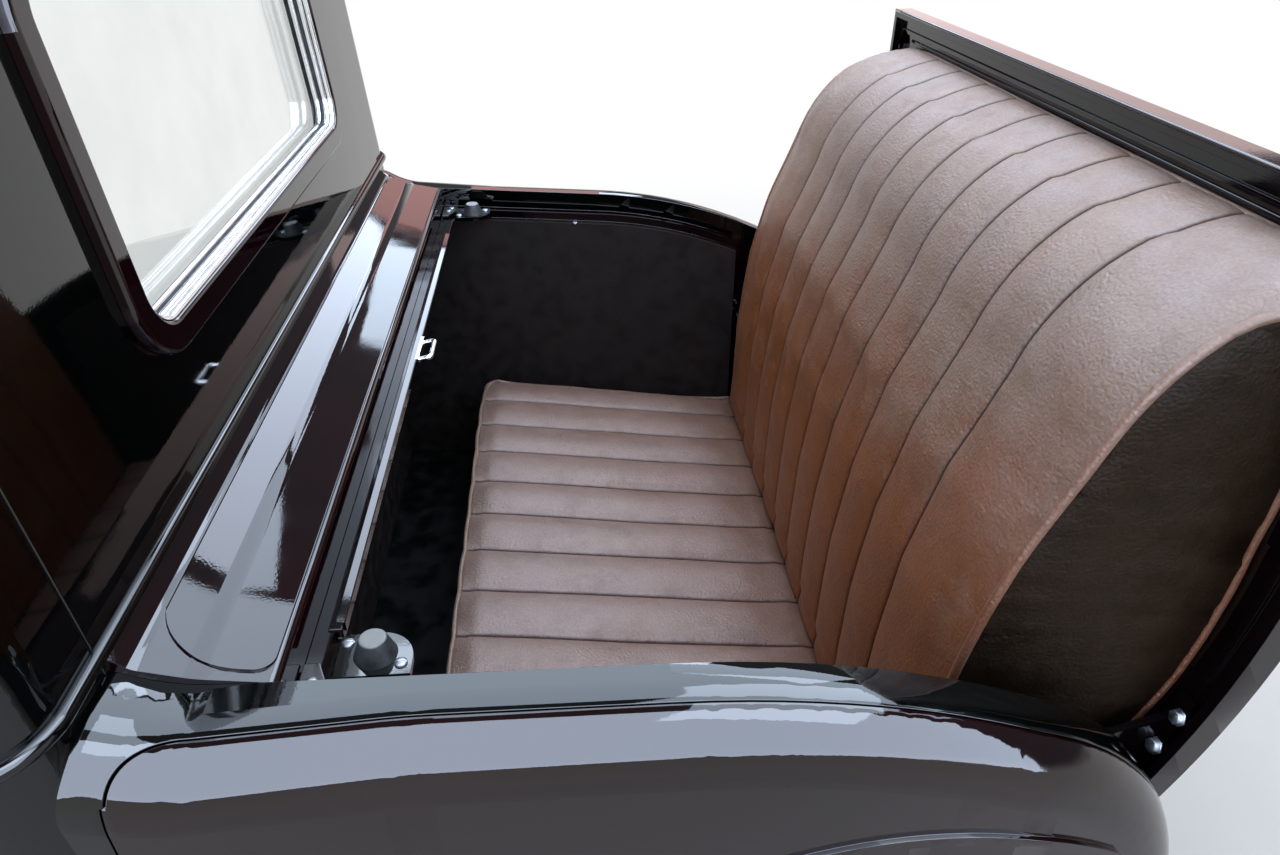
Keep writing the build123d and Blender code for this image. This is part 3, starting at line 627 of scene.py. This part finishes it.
def beside(node, start, direction):
    """Point and normal where a ray meets a CAD node."""
    mesh = nodes[node].data
    found = BVHTree.FromPolygons([v.co for v in mesh.vertices], [p.vertices for p in mesh.polygons])
    place, normal, _, _ = found.ray_cast(Vector(start), Vector(direction).normalized())
    return place, normal


def back_x(z):
    """X of the backrest's rear face at a height, 3 mm inside the solid."""
    return beside("backrest_cushion", (1.2, 0.1, z), (-1, 0, 0))[0].x - 0.003


def back_clamp(x, y, z):
    """Rounds the upper corners of the backrest seen from the front."""
    past = max(0.0, abs(y) - (BACK_HALF - BACK_CORNER))
    return Vector((x, y, min(z, rounded(-1, BACK_CROWN[2][1], BACK_CORNER, past))))


def back_tuck(x, z):
    """Lets the backrest's foot down to the cushion."""
    low = max(0, (0.20 - z) / 0.036)
    return (-0.0035 * low, 0, -0.007 * low)


foot, top = BACK_FRONT[0], BACK_CROWN[2]
curve = np.polyfit([z for _, z in BACK_FRONT], [x for x, _ in BACK_FRONT], 4)
heights = np.linspace(foot[1], BACK_FRONT[-1][1], 68)[:-1]
back_face = [(float(np.polyval(curve, z)), float(z)) for z in heights]
back_face += arc_points(*(np.array(p) for p in BACK_CROWN), 22)
FACE_END = len(back_face) - 1
back_rest = spaced([top, (back_x(BACK_REAR_TOP), BACK_REAR_TOP)], (4, 1))[1:4]
back_rest += [(back_x(z), float(z)) for z in np.linspace(BACK_REAR_TOP, BACK_REAR_FOOT, FACE_END + 1)]
back_rest += spaced([(back_x(BACK_REAR_FOOT), foot[1]), foot], (4, 1))[1:4]
back_loop = back_face + back_rest
back_edges = [-BACK_PAD_END] + [k * PLEAT for k in range(-4, 5)] + [BACK_PAD_END]
back, back_grid = pad("backrest_pad", back_loop, (FACE_END, 4, FACE_END, 4), back_edges, back_clamp,
                      swollen("backrest_cushion"), 0.0060, (4, 18), back_tuck, LID,
                      [LEATHER["back"], LEATHER["boxing"]])
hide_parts("backrest_cushion")

for tag, index in (("near", 0), ("far", -1)):
    line = [back_grid[index, j] + np.array((-0.0006, 0, 0.0012 * j / FACE_END))
            for j in range(0, FACE_END + 1, 2)]
    welt("backrest_front_welt_" + tag, line, 4.2 * MM, "welt", LID)
    line = [back_grid[index, j] for j in range(FACE_END + 5, len(back_loop) - 3, 2)]
    welt("backrest_side_welt_" + tag, line, 3.6 * MM, "welt", LID)
line = [p + np.array((0, 0, 0.001)) for p in back_grid[::3, FACE_END + 1]]
welt("backrest_rear_welt", line, 3.4 * MM, "welt", LID)


# Hardware and trim

PAN_HEAD = [(0.0046, -0.001), (0.0050, 0.0002), (0.0048, 0.0014), (0.0036, 0.0024), (0.0016, 0.0028)]
HEX_HEAD = [(0.0085, -0.001), (0.0085, 0.0005), (0.0068, 0.0006), (0.0068, 0.0050), (0.0058, 0.0058)]


def turned(name, place, axis, profile, body, sides=24, slit=0.0):
    """Steel fastener standing on a place along an axis: profile is radius and height, slit a screw slot's width."""
    verts, faces = [], []
    for r, h in profile:
        for k in range(sides):
            t = 2 * math.pi * k / sides
            verts.append((r * math.cos(t), r * math.sin(t), h))
    for i in range(len(profile) - 1):
        for k in range(sides):
            n = (k + 1) % sides
            faces.append((i * sides + k, i * sides + n, (i + 1) * sides + n, (i + 1) * sides + k))
    faces.append(tuple(range(sides))[::-1])
    faces.append(tuple((len(profile) - 1) * sides + k for k in range(sides)))
    o = mesh_object(name, verts, faces, [MATS["bare_steel"]])
    turn = Vector(axis).to_track_quat("Z", "Y").to_matrix().to_4x4()
    if slit:
        corners = [(x * 0.02, y * slit / 2, profile[-1][1] + z)
                   for x in (-1, 1) for y in (-1, 1) for z in (-0.0011, 0.002)]
        box = [(0, 1, 3, 2), (4, 6, 7, 5), (0, 4, 5, 1), (2, 3, 7, 6), (0, 2, 6, 4), (1, 5, 7, 3)]
        cutter = mesh_object("cutter", corners, box, [])
        cut = o.modifiers.new("slot", "BOOLEAN")
        cut.object = cutter
        cut.solver = "EXACT"
        graph = bpy.context.evaluated_depsgraph_get()
        o.data = bpy.data.meshes.new_from_object(o.evaluated_get(graph))
        o.modifiers.clear()
        bpy.data.objects.remove(cutter)
    o.data.transform(Matrix.Translation(Vector(place)) @ turn)
    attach(o, body)


def fastened(name, node, start, direction, profile, body, **shape):
    """Fastener where a ray meets a CAD node, standing along its surface's normal. A ray that misses places none."""
    place, normal = beside(node, start, direction)
    if place:
        turned(name, place, normal, profile, body, **shape)


# Screws seen from above: name, node, and each one's x and distance from the middle
SCREWS = (("gusset_screw", "corner_gusset", ((-0.199, 0.526), (-0.195, 0.541))),
          ("bracket_screw", "bumper_bracket", ((-0.178, 0.492), (-0.136, 0.515))))
SCREW_SLOT = 0.0012
for side, tag, hand in SIDES:
    for name, node, places in SCREWS:
        for index, (x, y) in enumerate(places):
            fastened(f"{name}_{tag}_{index}", f"{node}_{hand}", (x, side * y, 0.7), (0, 0, -1), PAN_HEAD, FIXED,
                     slit=SCREW_SLOT)
# The far trim screw lies on a line of sight from the camera's place, and the near one mirrors it
for side, tag, hand in SIDES:
    fastened("trim_screw_" + tag, "side_trim_" + hand, (EYE.x, side * EYE.y, EYE.z),
             (0.0103, side * 0.9711, -0.3373), PAN_HEAD, FIXED, slit=SCREW_SLOT)

# Turns a place on the closed lid to where it lies with the lid open, as the part rests
OPEN = Matrix.Translation(HINGE) @ Matrix.Rotation(math.radians(OPENING), 4, "Y") @ Matrix.Translation(-HINGE)
for side, tag, hand in SIDES:
    for index, x in enumerate((0.232, 0.268, 0.304)):
        start = OPEN @ Vector((x, side * 0.507, 0.38))
        fastened(f"hinge_bolt_{tag}_{index}", "hinge_arm_" + hand, start, OPEN.to_3x3() @ Vector((0, 0, 1)),
                 HEX_HEAD, LID, sides=6)

# Bead on the front gutter's lip, its section as x and z
LIP = ((-0.1920, 0.5345), (-0.1920, 0.5372), (-0.1912, 0.5378), (-0.1854, 0.5366), (-0.1846, 0.5356),
       (-0.1846, 0.5270))
along = np.linspace(-0.470, 0.400, 30)
ring = len(LIP)
faces = [(i * ring + k, i * ring + (k + 1) % ring, (i + 1) * ring + (k + 1) % ring, (i + 1) * ring + k)
         for i in range(len(along) - 1) for k in range(ring)]
faces += [tuple(range(ring)), tuple(range((len(along) - 1) * ring, len(along) * ring))[::-1]]
verts = [(x, y, z) for y in along for x, z in LIP]
lip_bead = mesh_object("opening_lip", verts, faces, [MATS["belt_paint"]], False)
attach(lip_bead, FIXED)

tube("lid_hem", [(0.5436, y, 0.8381) for y in np.linspace(-0.536, 0.536, 40)], 2.4 * MM, MATS["body_paint"], LID)
rib = []
for y in np.linspace(-0.470, 0.470, 48):
    place, _ = beside("lid_inner_panel", (0.50, y, 0.802), (1, 0, 0))
    if place and place.x < 0.57:
        rib.append(place + Vector((0.0010, 0, 0)))
tube("lid_rib", rib, 3.0 * MM, MATS["inner_paint"], LID)

# The cab's back wall leans forward, and the window's outline lies in its plane
LEAN = math.radians(4.6)
WALL_NORMAL = Vector((math.cos(LEAN), 0, math.sin(LEAN)))
WALL_UP = Vector((-math.sin(LEAN), 0, math.cos(LEAN)))
WALL_FOOT = Vector((-0.312, 0, 0.593))
WINDOW_LOW, WINDOW_HALF, WINDOW_HALF_TALL, WINDOW_ROUND = 0.700, 0.370, 0.155, 0.062


def window_ring(name, grow, out, radius, slot):
    """Round section strip along the window outline, grown and standing off the wall's face."""
    half_w, half_h, r = (v + grow for v in (WINDOW_HALF, WINDOW_HALF_TALL, WINDOW_ROUND))
    middle = WINDOW_LOW + WINDOW_HALF_TALL - WALL_FOOT.z
    points = []
    for cx, cy, start in ((1, 1, 0), (-1, 1, 90), (-1, -1, 180), (1, -1, 270)):
        for s in range(13):
            t = math.radians(start + 90 * s / 12)
            u, v = cx * (half_w - r) + r * math.cos(t), cy * (half_h - r) + r * math.sin(t)
            points.append(WALL_FOOT + Vector((0, 1, 0)) * u + WALL_UP * (middle + v) + WALL_NORMAL * out)
    tube(name, points, radius, MATS[slot], FIXED, 12, True)


window_ring("window_channel_outer", -0.0265, 0.004, 0.0034, "bright_metal")
window_ring("window_channel_middle", -0.0285, -0.003, 0.0036, "bright_metal")
window_ring("window_channel_groove", -0.0290, -0.0085, 0.0024, "rubber")
window_ring("window_channel_inner", -0.0300, -0.0135, 0.0036, "bright_metal")


# Materials of single nodes, and eased edges

# The lid's skin is dull on its inner side, which faces a point inside the closed lid
lid_centre = OPEN @ Vector((0.15, 0, 0.3))
skin = nodes["lid_skin"].data
skin.materials.append(MATS["inner_paint"])
for polygon in skin.polygons:
    outward = polygon.center - lid_centre
    if abs(polygon.center.y) < 0.4:
        outward.y = 0
    if polygon.normal.dot(outward) < 0:
        polygon.material_index = 1

# The bumpers' flat tops carry a painted highlight: the rubber turns pale between these heights
TOP_HIGHLIGHT = (0.5505, 0.5517)
painted_top_rubber = MATS["rubber"].copy()
painted_top_rubber.name = "bumper_rubber_painted_top"
tree = painted_top_rubber.node_tree
shader = tree.nodes["Principled BSDF"]
under = shader.inputs["Base Color"].links[0].from_socket
tree.links.new(blended(tree, spread(tree, axis_value(tree, "Z"), *TOP_HIGHLIGHT), under, srgb(150, 156, 160)),
               shader.inputs["Base Color"])
for kind, mat in (("bumper", painted_top_rubber), ("corner_gusset", PLATE), ("bumper_bracket", MATS["belt_paint"])):
    for _, _, hand in SIDES:
        nodes[f"{kind}_{hand}"].data.materials[0] = mat

EASED = [f"{kind}_{hand}" for kind in ("quarter_panel", "belt_rail", "bumper_bracket", "corner_gusset")
         for _, _, hand in SIDES]
EASED += ["deck_panel", "front_gutter", "window_frame", "lid_skin", "tail_panel", "cab_back_panel",
          "lid_inner_panel"]
EASE_WIDTH = {"window_frame": 0.004, "lid_skin": 0.003}
for name in EASED:
    weld = nodes[name].modifiers.new("weld", "WELD")
    weld.merge_threshold = 1e-5
    ease = nodes[name].modifiers.new("eased_edges", "BEVEL")
    ease.width = EASE_WIDTH.get(name, 0.0012)
    ease.segments = 3
    ease.angle_limit = math.radians(35)
    ease.harden_normals = True


# Studio

floor_mat, tree, shader = material("floor", Roughness=0.8)
tree.links.new(blended(tree, noise(tree, 3.0, 3), srgb(228, 227, 223), srgb(238, 237, 234)),
               shader.inputs["Base Color"])
# The floor turns into the white background between these distances from the part
FLOOR_FADE = (1.0, 2.6)
FLOOR_HALF = 12.0
reach = tree.nodes.new("ShaderNodeVectorMath")
reach.operation = "LENGTH"
tree.links.new(coords(tree), reach.inputs[0])
glow = tree.nodes.new("ShaderNodeEmission")
fade = tree.nodes.new("ShaderNodeMixShader")
far_off = spread(tree, reach.outputs["Value"], *FLOOR_FADE)
tree.links.new(math_node(tree, "MULTIPLY", background_rays(tree), far_off), fade.inputs[0])
tree.links.new(shader.outputs[0], fade.inputs[1])
tree.links.new(glow.outputs[0], fade.inputs[2])
tree.links.new(fade.outputs[0], tree.nodes["Material Output"].inputs["Surface"])
low = cad_box[0].z - 0.001
floor = mesh_object("studio_floor", [(x * FLOOR_HALF, y * FLOOR_HALF, low)
                                     for x, y in ((-1, -1), (1, -1), (1, 1), (-1, 1))],
                    [(0, 1, 2, 3)], [floor_mat], False)

# The world lights softly, and is white for the rays that see it. Reflections of the sky meet grey between the
# soft boxes: the change lies between these heights of a ray's direction
SKY_EDGE = (0.05, 0.20)
world = bpy.data.worlds.new("studio")
scene.world = world
world.use_nodes = True
tree = world.node_tree
tree.nodes.clear()
out = tree.nodes.new("ShaderNodeOutputWorld")
ray = tree.nodes.new("ShaderNodeLightPath")
lit, seen = (tree.nodes.new("ShaderNodeBackground") for _ in range(2))
pick = tree.nodes.new("ShaderNodeMixShader")
lit.inputs[0].default_value = (0.93, 0.96, 1.0, 1)
lit.inputs[1].default_value = 0.42
aim = tree.nodes.new("ShaderNodeTexCoord")
parts = tree.nodes.new("ShaderNodeSeparateXYZ")
tree.links.new(aim.outputs["Generated"], parts.inputs[0])
above = math_node(tree, "MULTIPLY", spread(tree, parts.outputs["Z"], *SKY_EDGE), ray.outputs["Is Glossy Ray"])
tree.links.new(blended(tree, above, (1, 1, 1, 1), (0.16, 0.17, 0.19, 1)), seen.inputs[0])
seen.inputs[1].default_value = 1.0
tree.links.new(background_rays(tree), pick.inputs[0])
tree.links.new(lit.outputs[0], pick.inputs[1])
tree.links.new(seen.outputs[0], pick.inputs[2])
tree.links.new(pick.outputs[0], out.inputs[0])


def lamp(name, place, target, width, height, radiance, colour=(1, 1, 1), diffuse=True):
    """Soft box facing a target, its face of the given brightness. Without diffuse only reflections see it."""
    data = bpy.data.lights.new(name, "AREA")
    data.shape = "RECTANGLE"
    data.size, data.size_y = width, height
    data.energy = radiance * math.pi * width * height
    data.color = colour
    o = bpy.data.objects.new(name, data)
    scene.collection.objects.link(o)
    o.location = place
    o.rotation_mode = "QUATERNION"
    o.rotation_quaternion = (Vector(target) - Vector(place)).to_track_quat("-Z", "Y")
    o.visible_camera = False
    o.visible_diffuse = diffuse
    o.visible_transmission = diffuse
    return o


SKY_FAR = 10.0
SKY_TARGET = Vector((0.1, 0, 0.5))


def sky(name, azimuth, height, wide, tall, radiance, colour=(0.78, 0.92, 1.12)):
    """Soft box for reflections, at an azimuth from +Y towards +X and a height, its size in degrees."""
    a, h = math.radians(azimuth), math.radians(height)
    place = SKY_TARGET + SKY_FAR * Vector((math.sin(a) * math.cos(h), math.cos(a) * math.cos(h), math.sin(h)))
    size = [2 * SKY_FAR * math.tan(math.radians(v) / 2) for v in (wide, tall)]
    lamp(name, place, SKY_TARGET, *size, radiance, colour, False)


key = lamp("key_box", (0.3, 0.5, 3.4), (0.1, 0, 0.4), 2.8, 2.0, 2.9, (0.98, 0.99, 1.0))
key.visible_glossy = False
lamp("front_box", (-2.6, -2.4, 1.6), (0.2, 0, 0.5), 1.4, 1.4, 1.2)
sky("sky_ahead", 5.2, 33.5, 13.5, 24, 6.5, (0.93, 1.06, 1.3))
sky("sky_gap", -3.4, 25.5, 3.6, 7, 6.5)
sky("sky_glow", 0, 17, 10, 8, 1.6, (1.0, 0.52, 0.49))
sky("sky_rim", 31, 13, 30, 8, 1.4, (1.0, 0.74, 0.72))
sky("sky_right", 27, 40, 28, 13, 6.0)
sky("sky_left", -23, 36.5, 22, 21, 6.0)
sky("sky_high", 2, 67, 110, 40, 5.8)
sky("sky_east", 92, 62, 56, 30, 6.0)
sky("sky_near", 180, 42, 120, 72, 8.0, (0.90, 1.04, 1.3))

# Focal length and width of the picture, in its pixels
FOCAL, WIDTH = 900, 1280
camera = bpy.data.cameras.new("camera")
view = bpy.data.objects.new("camera", camera)
scene.collection.objects.link(view)
camera.sensor_width = 36
camera.lens = camera.sensor_width * FOCAL / WIDTH
camera.clip_start, camera.clip_end = 0.01, 100
forward = Vector((0.072, 0.845, -0.530)).normalized()
right = forward.cross(Vector((0.045, 0.528, 0.848))).normalized()
up = right.cross(forward)
view.matrix_world = Matrix.Translation(EYE) @ Matrix((right, up, -forward)).transposed().to_4x4()
scene.camera = view
scene.view_settings.view_transform = "Standard"
